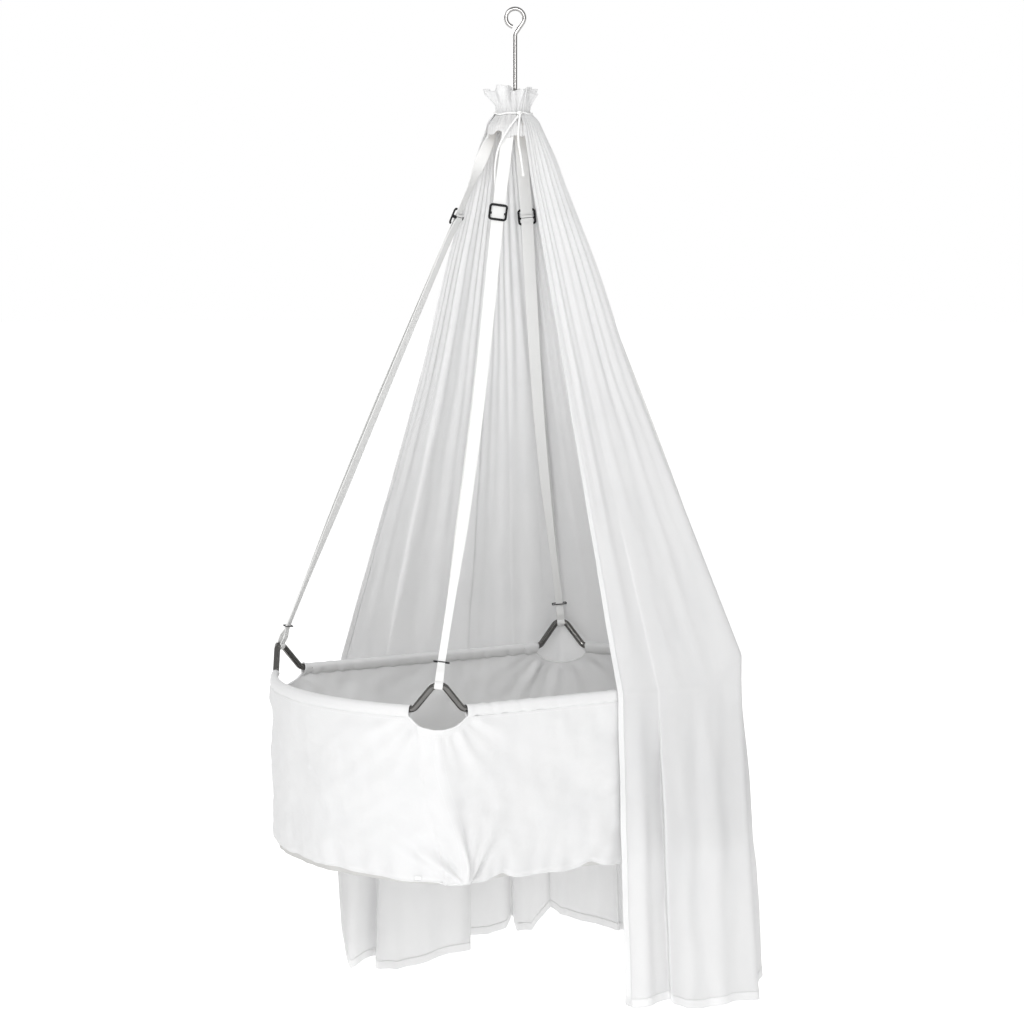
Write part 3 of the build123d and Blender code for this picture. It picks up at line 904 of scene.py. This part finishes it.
class StrapFrame:
    """Line of a strap, read from its spigot, buckle and joint."""

    def __init__(self, name):
        joint = next(j for j in frame["joints"] if j["name"] == "slide_buckle_" + name)
        self.down = -np.array(joint["axis"], float)
        corner = rim_corner(name)
        low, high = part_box("buckle_" + name)
        self.buckle = np.array((low + high) / 2)
        bend_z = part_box("spigot_" + name)[1].z - loop_drop
        self.bottom = self.buckle + self.down * ((bend_z - self.buckle[2]) / self.down[2])
        top_z = (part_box("strap_spreader")[0].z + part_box("strap_spreader")[1].z) / 2
        self.top = self.buckle + self.down * ((top_z - self.buckle[2]) / self.down[2])
        self.length = float(norm(self.bottom - self.top))
        self.at_buckle = float(norm(self.buckle - self.top))
        outward = np.array([*(corner - neck_middle), 0.0])
        sx, sy = np.sign(corner - Rim.middle)
        tube = np.array([sx * (1 + math.sin(end_angle)), -sy * math.cos(end_angle), 0.0])
        tube = unit(tube)
        across = tube - self.down * (tube @ self.down)
        self.across = unit(across)
        self.out = np.cross(self.across, self.down)
        if self.out @ outward < 0:
            self.across = -self.across
            self.out = -self.out
        self.keeper = float((np.array(sum(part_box("keeper_" + name), Vector()) / 2) - self.top) @ self.down)

    def place(self, x, y, w):
        """Points at x down the line, y outward and w across. Each may be a number or an array."""
        x, y, w = (np.asarray(v, float)[..., None] for v in (x, y, w))
        return self.top + self.down * x + self.out * y + self.across * w


def strap_line(strap):
    """Side view of the webbing as (down, outward) points: inner ply, loop round the tube, outer ply, top."""
    b, k, end = strap.at_buckle, strap.keeper, strap.length
    ply = 0.00095
    loop = tube_r + 0.0012
    inner = [(b - 0.006, -0.0030), (b + 0.004, -0.0042), (b + 0.016, -0.0028), (b + 0.06, -0.0014)]
    span = k - b
    for share, gap in ((0.25, 0.0022), (0.45, 0.0031), (0.62, 0.0028), (0.80, 0.0017), (0.94, 0.0010)):
        inner.append((b + span * share, -gap))
    inner += [(k, -ply), (k + 0.010, -0.0019), (k + 0.022, -0.0050)]
    around = []
    for degrees in range(-150, 151, 20):
        a = math.radians(degrees)
        around.append((end + loop * math.cos(a), loop * math.sin(a)))
    outer = [(k + 0.022, 0.0050), (k + 0.010, 0.0019), (k, ply)]
    for share, gap in ((0.94, 0.0010), (0.80, 0.0016), (0.62, 0.0024), (0.45, 0.0028), (0.25, 0.0021)):
        outer.append((b + span * share, gap))
    outer += [(b + 0.05, 0.0012), (b + 0.014, 0.0010), (b, 0.0004), (b - 0.014, 0.0002), (b - 0.05, 0.0)]
    top = [(b * 0.35, 0.0), (0.012, 0.0), (0.004, 0.0), (-0.0045, 0.0004)]
    return inner + around + outer + top


def make_strap(name, looks):
    """One length of webbing, folded round the V tube and back through its buckle."""
    strap = StrapFrame(name)
    line = catmull(strap_line(strap), 10)
    x, y = line[:, :1], line[:, 1:]
    columns = 11
    share = np.linspace(-1, 1, columns)
    near = smooth(x, strap.keeper - 0.30, strap.keeper - 0.07)
    pinched = pinched_width + 0.0015 * smooth(x, strap.keeper, strap.length)
    width = np.where(x > strap.keeper + 0.012, pinched, web_width + (pinched_width - web_width) * near)
    below_buckle = np.clip((x - strap.at_buckle) / (strap.keeper - strap.at_buckle), 0, 1)
    wander = -0.0075 * sin(math.pi * below_buckle)
    cup = 0.0004 * near * (1 - smooth(x, strap.keeper + 0.004, strap.length))
    twisting = smooth(x, strap.at_buckle + 0.02, strap.at_buckle + 0.62)
    twisting = twisting * (1 - smooth(x, strap.keeper - 0.20, strap.keeper))
    turn = upper_twist[name] * bell(x, strap.at_buckle * 0.34, strap.at_buckle * 0.19)
    turn = turn + lower_twist[name] * twisting
    lift = y + np.where(y < 0, -1, 1) * cup * (0.5 - share**2)
    across = share * width / 2
    turned_out = lift * cos(turn) + across * sin(turn)
    grid = strap.place(x, turned_out, across * cos(turn) - lift * sin(turn) + wander)
    total = line_length(grid[:, columns // 2])
    band = grid_piece("webbing_" + name, grid, (web_width, total), looks["webbing"], thickness=web_thick)
    bevel = band.modifiers.new("soft_edge", "BEVEL")
    bevel.width = 0.0003
    bevel.segments = 2
    bevel.limit_method = "ANGLE"
    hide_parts("strap_" + name)
    face = web_thick / 2 + 0.0001
    first, last = strap.at_buckle + 0.030, strap.at_buckle + 0.052
    reach = web_width * 0.36
    outer_y = np.interp([first, last], [strap.at_buckle, strap.keeper], [0.0012, 0.0016]) + face
    sewn = [
        (first, -reach, first, reach), (last, -reach, last, reach), (first, -reach, last, -reach),
        (first, reach, last, reach), (first, reach, last, -reach), (first, -reach, last, reach),
    ]
    runs = [np.array([strap.place(a, outer_y[0], u), strap.place(b, outer_y[1], v)]) for a, u, b, v in sewn]
    box = stitches_piece("webbing_stitches_" + name, runs, looks["thread"], 0.0030, 0.0022, 0.0003)
    for piece in (band, box):
        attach(piece, "head")
        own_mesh(piece)


# ---------------- tub

casing_clear = 0.056
cut_rise = 0.0215
cut_r = 0.0585
tub_wall_gap = 0.0012
tip_slide = 0.050
tub_corner_r = 0.070
seam_drop = 0.0165
seam_lean = 0.0048


def closest_shares(line):
    """Share of the closed plan at each corner."""
    shares = np.linspace(0, 1, 4000, endpoint=False)
    points = along_line(line, shares)
    return {name: shares[np.argmin(norm(points - rim_corner(name)))] for name in corners}


def make_tub(looks):
    """Walls with cut-outs and creases, a floor, the casings round the tubes, hems and stitches."""
    plan = closed_plan(0.0, tub_corner_r)
    length = line_length(plan)
    at_corner = closest_shares(plan)
    columns, rows = 1000, 110
    s = np.linspace(0, 1, columns)
    gap = {n: ((s - at_corner[n] + 0.5) % 1 - 0.5) * length for n in corners}
    nearest = np.min([np.abs(g) for g in gap.values()], axis=0)
    facing = math.cos((math.pi / 2 - end_angle) / 2)
    lateral = nearest * facing
    dip = cut_rise - np.sqrt(np.maximum(cut_r**2 - lateral**2, 0))
    seam_z = 0.003 - seam_drop
    top = Rim.z + np.where(lateral < cut_r, np.minimum(seam_z, dip), seam_z)
    top = blur(top, 2)
    xy = along_line(plan, s)
    ahead = np.roll(xy, -1, 0) - np.roll(xy, 1, 0)
    ahead[0] = ahead[-1] = xy[1] - xy[-2]
    ahead = unit(ahead)
    outward = np.stack([ahead[:, 1], -ahead[:, 0]], -1)
    middle_x = Rim.middle[0]
    ends = smooth(np.abs(xy[:, 0] - middle_x), abs(Rim.left_x - middle_x), abs(Rim.left_apex - middle_x))
    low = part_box("tub_fabric")[0].z
    bottom = low - 0.003 + 0.012 * ends - 0.0035 * bell(nearest, 0, 0.03)
    scallops = np.maximum(ripples(s * length, 0 * s, 24, 0.055, 1.0), 0)
    bottom = bottom + 0.0030 * scallops + 0.0012 * sin(tau * 23 * s)
    for name in corners:
        beyond_tip = gap[name] * (1 if name in ("front_left", "back_right") else -1)
        for at, width, lift in ((0.11, 0.028, 0.0085), (-0.060, 0.018, 0.0050), (0.32, 0.016, 0.0065)):
            bottom = bottom + lift * bell(beyond_tip, at, width)
    bottom = blur(bottom, 8)
    t = np.linspace(0, 1, rows)[:, None]
    z = top[None] + (bottom - top)[None] * t
    depth = Rim.z - z
    push = 0.004 * sin(math.pi * np.clip(depth / (Rim.z - low), 0, 1)) * np.ones_like(z)
    arc = s[None] * length * np.ones_like(z)
    push += 0.0024 * ripples(arc, z, 21, 0.16, 0.11) + 0.0008 * ripples(arc, z, 22, 0.06, 0.05)
    low_down = smooth(depth, 0.20, 0.31)
    push += 0.0015 * ripples(arc, z, 23, 0.045, 0.20) * low_down
    slide = np.zeros_like(z)
    for i, name in enumerate(corners):
        g = gap[name][None] * np.ones_like(z)
        sx = 1 if name in ("front_left", "back_right") else -1
        slide += tip_slide * sx * bell(g, 0, 0.11) * smooth(depth, 0.06, 0.315)
        above_tip = np.maximum(z - (low - 0.004), 0.0)
        reach = np.hypot(g, above_tip)
        spread = np.arctan2(g, above_tip + 0.006)
        fan = cos(9 * spread + 0.7 + i) + 0.6 * cos(17 * spread + 2.1 * i)
        fan = fan * exp(-reach / 0.090) * smooth(reach, 0.002, 0.04)
        push += 0.0085 * fan * smooth(1.35 - np.abs(spread), 0, 0.5)
        push += 0.012 * bell(g, 0, 0.014) * smooth(depth, 0.20, 0.315)
        from_cut = np.hypot(g * facing, z - (Rim.z + cut_rise))
        way = np.arctan2(g, -(z - (Rim.z + cut_rise)))
        pull = cos(11 * way + 1.1 * i) + 0.5 * cos(23 * way + 0.6)
        fade = exp(-np.maximum(from_cut - cut_r, 0) / 0.075) * smooth(from_cut, cut_r + 0.002, cut_r + 0.022)
        push += 0.0042 * pull * fade * smooth(1.5 - np.abs(way), 0, 0.5)
        line = way - (-0.55 if sx > 0 else 0.55)
        fade = exp(-np.maximum(from_cut - cut_r, 0) / 0.06) * smooth(from_cut, cut_r + 0.001, cut_r + 0.02)
        push -= 0.0050 * bell(line, 0, 0.10) * fade
    gathers = (sin(arc / 0.0062 + 2.5 * sin(arc / 0.05)) + 0.5 * sin(arc / 0.0035)) * exp(-depth / 0.016)
    along_side = 1 - 0.75 * ends[None]
    push += 0.0011 * gathers * along_side * smooth(np.abs(nearest)[None], 0.05, 0.07)
    push = push * (0.35 + 0.65 * smooth(depth, 0.01, 0.04))
    turn_in = 0.004 * smooth(t, 0.975, 1.0)
    offset = tub_wall_gap + push - turn_in + seam_lean * (1 - smooth(depth, 0.02, 0.09))
    moved = (s[None] + slide / length) % 1.0
    moved[:, -1] = moved[:, 0]
    base_xy = along_line(plan, moved)
    step = 0.002
    way_on = along_line(plan, (moved + step) % 1.0) - along_line(plan, (moved - step) % 1.0)
    way_on = unit(way_on)
    out_now = np.stack([way_on[..., 1], -way_on[..., 0]], -1)
    walls_xy = base_xy + out_now * offset[..., None]
    grid = np.concatenate([walls_xy, z[..., None]], -1)
    grid[:, -1] = grid[:, 0]
    walls = grid_piece("tub_walls", grid, (length, 0.32), looks["tub"], wrap=True, thickness=0.0014)
    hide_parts("tub_fabric")
    floor = make_tub_floor(grid[-1], looks)
    casings = make_casings(looks)
    hems = make_cut_hems(grid, gap, looks)
    normal = grid_normals(grid)
    normal *= np.sign((normal[..., :2] * outward[None]).sum(-1, keepdims=True))
    runs = []
    for row, wanted in ((2, nearest > casing_clear + 0.004), (4, nearest < casing_clear - 0.004)):
        for block in np.split(np.arange(columns), np.flatnonzero(np.diff(wanted.astype(int))) + 1):
            if wanted[block[0]] and len(block) > 8:
                runs.append(grid[row, block] + normal[row, block] * stitch_lift)
    seam_rows = np.arange(3, rows - 2)
    for name in corners:
        column = int(np.argmin(np.abs(gap[name])))
        for step in (-3, 3):
            edge = (column + step) % columns
            runs.append(grid[seam_rows, edge] + normal[seam_rows, edge] * stitch_lift)
    seam = stitches_piece("tub_stitches", runs, looks["thread"], 0.0045, 0.0031, 0.00032)
    piping = tube_piece(
        "tub_bottom_piping", blur_line(grid[-1, :-1]), 0.0013, looks["tub"], closed=True, sides=10
    )
    tab = make_tab(grid, normal, looks)
    for piece in (walls, floor, seam, piping, tab, *casings, *hems):
        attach(piece, "cradle")


def blur_line(points):
    """A closed line, a little softened."""
    total = points.copy()
    for shift in (-3, -2, -1, 1, 2, 3):
        total += np.roll(points, shift, 0)
    return total / 7


def make_tub_floor(edge, looks):
    """Fabric floor: rings that close from the walls' lower edge to the middle. Its canvas is darker than the walls'
    as painted shade for the strip under the walls' lower edge.
    """
    centre = edge[:-1].mean(0)
    centre[2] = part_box("tub_fabric")[0].z + 0.001
    rings = 40
    shares = np.concatenate([np.linspace(0, 0.012, 9)[:-1], np.linspace(0.012, 1, rings)])
    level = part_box("tub_fabric")[0].z - 0.0005
    rows = []
    for share in shares:
        ring = edge + (centre - edge) * share * 0.9995
        fall = smooth(share, 0.0, 0.007)
        ring[:, 2] = edge[:, 2] * (1 - fall) + level * fall
        ring[:, 2] += 0.0012 * ripples(ring[:, 0], ring[:, 1], 31, 0.16, 0.16) * smooth(share, 0.05, 0.2)
        rows.append(ring)
    return grid_piece("tub_floor", np.array(rows), (2.5, 0.36), looks["painted_shade_floor"], wrap=True, thickness=0.0012)


def make_casings(looks):
    """The sewn channels that the rim's tubes run through, gathered where the cloth is full."""
    f, r, right_peak, b, l, left_peak = rim_points()
    spans = [
        ("long_front", [f, r], 1), ("long_back", [l, b], -1),
        ("end_left", [f, left_peak, l], -1), ("end_right", [r, right_peak, b], 1),
    ]
    pieces = []
    for number, (name, points, facing_out) in enumerate(spans):
        line = rounded_line(points, [0, end_bow_r, 0])
        whole = line_length(line)
        length = whole - 2 * casing_clear
        count = int(whole / 0.004)
        flat = along_line(line, np.linspace(casing_clear / whole, 1 - casing_clear / whole, count))
        ahead = tangents(flat, False)
        side = np.stack([ahead[:, 1], -ahead[:, 0]], -1)
        at = np.arange(count) * length / count
        full = 0.25 if len(points) > 2 else 1.0
        crowd = 0.35 + 0.65 * np.maximum(exp(-at / 0.12), exp(-(length - at) / 0.12))
        lip = 0.0010 * (exp(-at / 0.003) + exp(-(length - at) / 0.003))
        rings = []
        for angle in np.linspace(0, tau, 21):
            wave = sin(at / 0.0052 + 2 * sin(at / 0.06) + number) + 0.5 * sin(at / 0.0031 + angle)
            radius = casing_r - 0.0008 + 0.0007 * full * crowd * wave + lip
            wide, high, lean = math.cos(angle), math.sin(angle), 0.0
            if high < 0:
                lean = -high * seam_lean * facing_out
                wide = math.copysign(abs(wide) ** 1.25, wide)
                high *= seam_drop / casing_r
            rings.append(np.column_stack([flat + side * (radius * wide + lean)[:, None], Rim.z + radius * high]))
        pieces.append(
            grid_piece(
                "tub_casing_" + name, np.array(rings), (length, 0.05), looks["tub"], wrap=True, thickness=0.0011
            )
        )
    return pieces


def make_cut_hems(grid, gap, looks):
    """Rolled hem round each cut-out."""
    pieces = []
    for name in corners:
        inside = np.flatnonzero(np.abs(gap[name]) < casing_clear)
        if inside[-1] - inside[0] > len(inside):
            jump = np.flatnonzero(np.diff(inside) > 1)[0] + 1
            inside = np.concatenate([inside[jump:], inside[:jump]])
        line = grid[0, inside].copy()
        line[:, 2] += 0.0005
        swell = 0.0021 + 0.0003 * sin(np.arange(len(line)) * 0.9)
        pieces.append(tube_piece("tub_cut_hem_" + name, line, swell, looks["tub"], sides=10))
    return pieces


def make_tab(grid, normal, looks):
    """A small blank sewn-in tab at the bottom edge of the left end."""
    edge = grid[-3]
    wanted = np.array([Rim.left_x - 0.022, Rim.front_y + 0.034])
    column = int(np.argmin(norm(edge[:, :2] - wanted)))
    columns = slice(column - 2, column + 3)
    rows = []
    for drop in np.linspace(0, 0.007, 6):
        ring = edge[columns] + normal[-12, columns] * (0.0022 + 0.15 * drop)
        ring[:, 2] -= drop - 0.004
        rows.append(ring)
    return grid_piece("tub_tab", np.array(rows), (0.02, 0.016), looks["thread"], thickness=0.0008)


# ---------------- mattress


def make_mattress(looks):
    """A firm crowned pad with piped edges, swollen by a short cloth simulation."""
    low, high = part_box("mattress")
    inset, shrink, pad_corner_r = 0.014, 0.006, 0.05
    shares = np.linspace(0, 1, 241)[:-1]
    ring = along_line(closed_plan(-inset - shrink, pad_corner_r), shares)
    centre = ring.mean(0)
    build = bmesh.new()
    thick = high.z - low.z
    levels = [(low.z + 0.002, 0.985), (low.z + 0.008, 1.0), (high.z - 0.012, 1.0), (high.z - 0.006, 0.985)]
    rings = []
    for z, scale in levels:
        rings.append([build.verts.new((*(centre + (p - centre) * scale), z)) for p in ring])
    for lower, upper in zip(rings, rings[1:]):
        for i in range(len(ring)):
            n = (i + 1) % len(ring)
            build.faces.new((lower[i], lower[n], upper[n], upper[i]))
    build.faces.new(rings[0][::-1])
    build.faces.new(rings[-1])
    mesh = bpy.data.meshes.new("mattress_pad")
    build.to_mesh(mesh)
    build.free()
    pad = add_object("mattress_pad", mesh)
    remesh = pad.modifiers.new("remesh", "REMESH")
    remesh.mode = "VOXEL"
    remesh.voxel_size = 0.008
    apply_modifiers(pad)
    swell(pad, 0.006)
    co = np.array([v.co for v in pad.data.vertices])
    half_pad, buttoned, button_r = np.array([0.40, 0.28]), 0.92, 0.014
    reach = norm((co[:, :2] - centre) / half_pad)
    top = smooth(co[:, 2], low.z + thick * 0.55, high.z - 0.006)
    crown = 0.0035 * (1 - np.clip(reach, 0, 1) ** 2)
    dimple = np.zeros(len(co))
    spacing = 0.115
    for i in range(-3, 4):
        for j in range(-2, 3):
            spot = centre + np.array([i * spacing + (j % 2) * spacing / 2, j * spacing * 0.9])
            if norm((spot - centre) / half_pad) < buttoned:
                dimple += bell(norm(co[:, :2] - spot), 0, button_r)
    co[:, 2] += top * (crown - 0.0045 * dimple)
    co[:, 2] = np.clip(co[:, 2], low.z + 0.0005, high.z + 0.006)
    pad.data.vertices.foreach_set("co", co.ravel())
    pad.data.update()
    even = pad.modifiers.new("even", "SMOOTH")
    even.iterations = 4
    finer = pad.modifiers.new("finer", "SUBSURF")
    finer.levels = finer.render_levels = 1
    apply_modifiers(pad)
    pad.data.polygons.foreach_set("use_smooth", [True] * len(pad.data.polygons))
    add_flat_uv(pad)
    pad.data.materials.clear()
    pad.data.materials.append(looks["mattress"])
    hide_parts("mattress")
    pipes = []
    edge = along_line(closed_plan(-inset - 0.001, pad_corner_r), shares)
    for name, z in (("top", high.z - 0.006), ("bottom", low.z + 0.006)):
        line = np.column_stack([edge, np.full(len(edge), z)])
        pipes.append(tube_piece("mattress_piping_" + name, line, 0.0023, looks["mattress"], closed=True, sides=10))
    for piece in (pad, *pipes):
        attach(piece, "mattress")


def add_flat_uv(piece):
    """UVs in metres, looking down on the piece."""
    mesh = piece.data
    layer = mesh.uv_layers.get("cloth") or mesh.uv_layers.new(name="cloth")
    co = np.array([v.co for v in mesh.vertices])
    index = np.zeros(len(mesh.loops), np.int32)
    mesh.loops.foreach_get("vertex_index", index)
    x, y, z = co[index].T
    layer.data.foreach_set("uv", np.stack([x + 0.4 * z, y + 0.9 * z], -1).ravel())


def apply_modifiers(piece):
    """Makes a piece's modifiers part of its mesh."""
    graph = bpy.context.evaluated_depsgraph_get()
    made = bpy.data.meshes.new_from_object(piece.evaluated_get(graph))
    piece.modifiers.clear()
    piece.data = made


def swell(piece, cap):
    """Fills a closed cloth form with air for a few steps, and limits how far a point moves."""
    scene = bpy.context.scene
    scene.frame_start, scene.frame_end = 1, 16
    start = np.array([v.co for v in piece.data.vertices])
    cloth = piece.modifiers.new("air", "CLOTH")
    settings = cloth.settings
    settings.quality = 5
    settings.mass = 0.3
    settings.tension_stiffness = settings.compression_stiffness = 15
    settings.bending_stiffness = 0.5
    settings.use_pressure = True
    settings.uniform_pressure_force = 4.0
    settings.effector_weights.gravity = 0.0
    cloth.collision_settings.use_collision = False
    cloth.collision_settings.use_self_collision = False
    for step in range(1, 15):
        scene.frame_set(step)
    graph = bpy.context.evaluated_depsgraph_get()
    moved = np.array([v.co for v in piece.evaluated_get(graph).data.vertices])
    piece.modifiers.clear()
    scene.frame_set(1)
    shift = moved - start
    size = np.linalg.norm(shift, axis=1, keepdims=True)
    shift *= np.minimum(1, cap / np.maximum(size, 1e-9))
    piece.data.vertices.foreach_set("co", (start + shift).ravel())
    piece.data.update()


# ---------------- metal and wood


def swept_bar(line, outs, half_in, half_out, closed):
    """Vertices and faces of a soft-edged flat bar along a line; outs is the direction of its depth."""
    sides, squareness = 16, 0.45
    angles = tau * (np.arange(sides) + 0.5) / sides
    a, b = (np.sign(part) * abs(part) ** squareness for part in (cos(angles), sin(angles)))
    side = np.cross(tangents(line, closed), outs)
    rings = line[:, None] + side[:, None] * (a * half_in)[:, None] + outs * (b * half_out)[:, None]
    return list(rings.reshape(-1, 3)), ring_faces(len(line), sides, closed)


def make_buckle(name, looks):
    """Slide buckle: a square wire-cut frame with round corners, and a middle bar carried on two posts."""
    strap = StrapFrame(name)
    half_w, half_h, corner = 0.01525, 0.01425, 0.0042
    frame_y, bar_y = 0.0034, -0.0034
    square = rounded_line(
        [(-half_w, -half_h), (half_w, -half_h), (half_w, half_h), (-half_w, half_h)], [corner] * 4, closed=True
    )
    x, y = along_line(square, np.linspace(0, 1, 97)[:-1]).T
    b = strap.at_buckle
    parts = [swept_bar(strap.place(b + y, frame_y, x), strap.out, 0.00215, 0.00135, True)]
    for way in (-1, 1):
        post = strap.place(b, np.linspace(frame_y, bar_y - 0.0008, 7), way * half_w)
        parts.append(swept_bar(post, strap.across, 0.0030, 0.0019, False))
    bar = strap.place(b, bar_y, np.linspace(-half_w, half_w, 9))
    parts.append(swept_bar(bar, strap.out, 0.0021, 0.0012, False))
    vertices, faces = [], []
    for more, cells in parts:
        base = len(vertices)
        vertices += more
        faces += [tuple(i + base for i in cell) for cell in cells]
    piece = add_mesh("slide_buckle_" + name, vertices, faces, looks["buckle"])
    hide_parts("buckle_" + name)
    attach(piece, "buckle_" + name)


def finish_hardware(looks):
    """Materials of the carried-over nodes, and the four buckles."""
    for node, look in (
        ("hang_rod", "rod"), ("strap_ring", "link"), ("eye_bolt", "link"), ("bolt_nut", "link"),
        ("strap_spreader", "wood"), ("base_board", "board"),
        ("rail_front", "frame"), ("rail_back", "frame"), ("rail_left_end", "frame"), ("rail_right_end", "frame"),
    ):
        set_look(nodes[node], looks[look])
    for name in corners:
        set_look(nodes["keeper_" + name], looks["wire"])
        set_look(nodes["spigot_" + name], looks["link"])
        make_buckle(name, looks)


def set_look(piece, material):
    """Gives a carried-over node its material."""
    piece.data.materials.clear()
    piece.data.materials.append(material)


make_camera()
looks = make_looks()
make_tie(looks)
make_studio()
make_canopy(looks)
for corner in corners:
    make_strap(corner, looks)
make_tub(looks)
make_mattress(looks)
finish_hardware(looks)
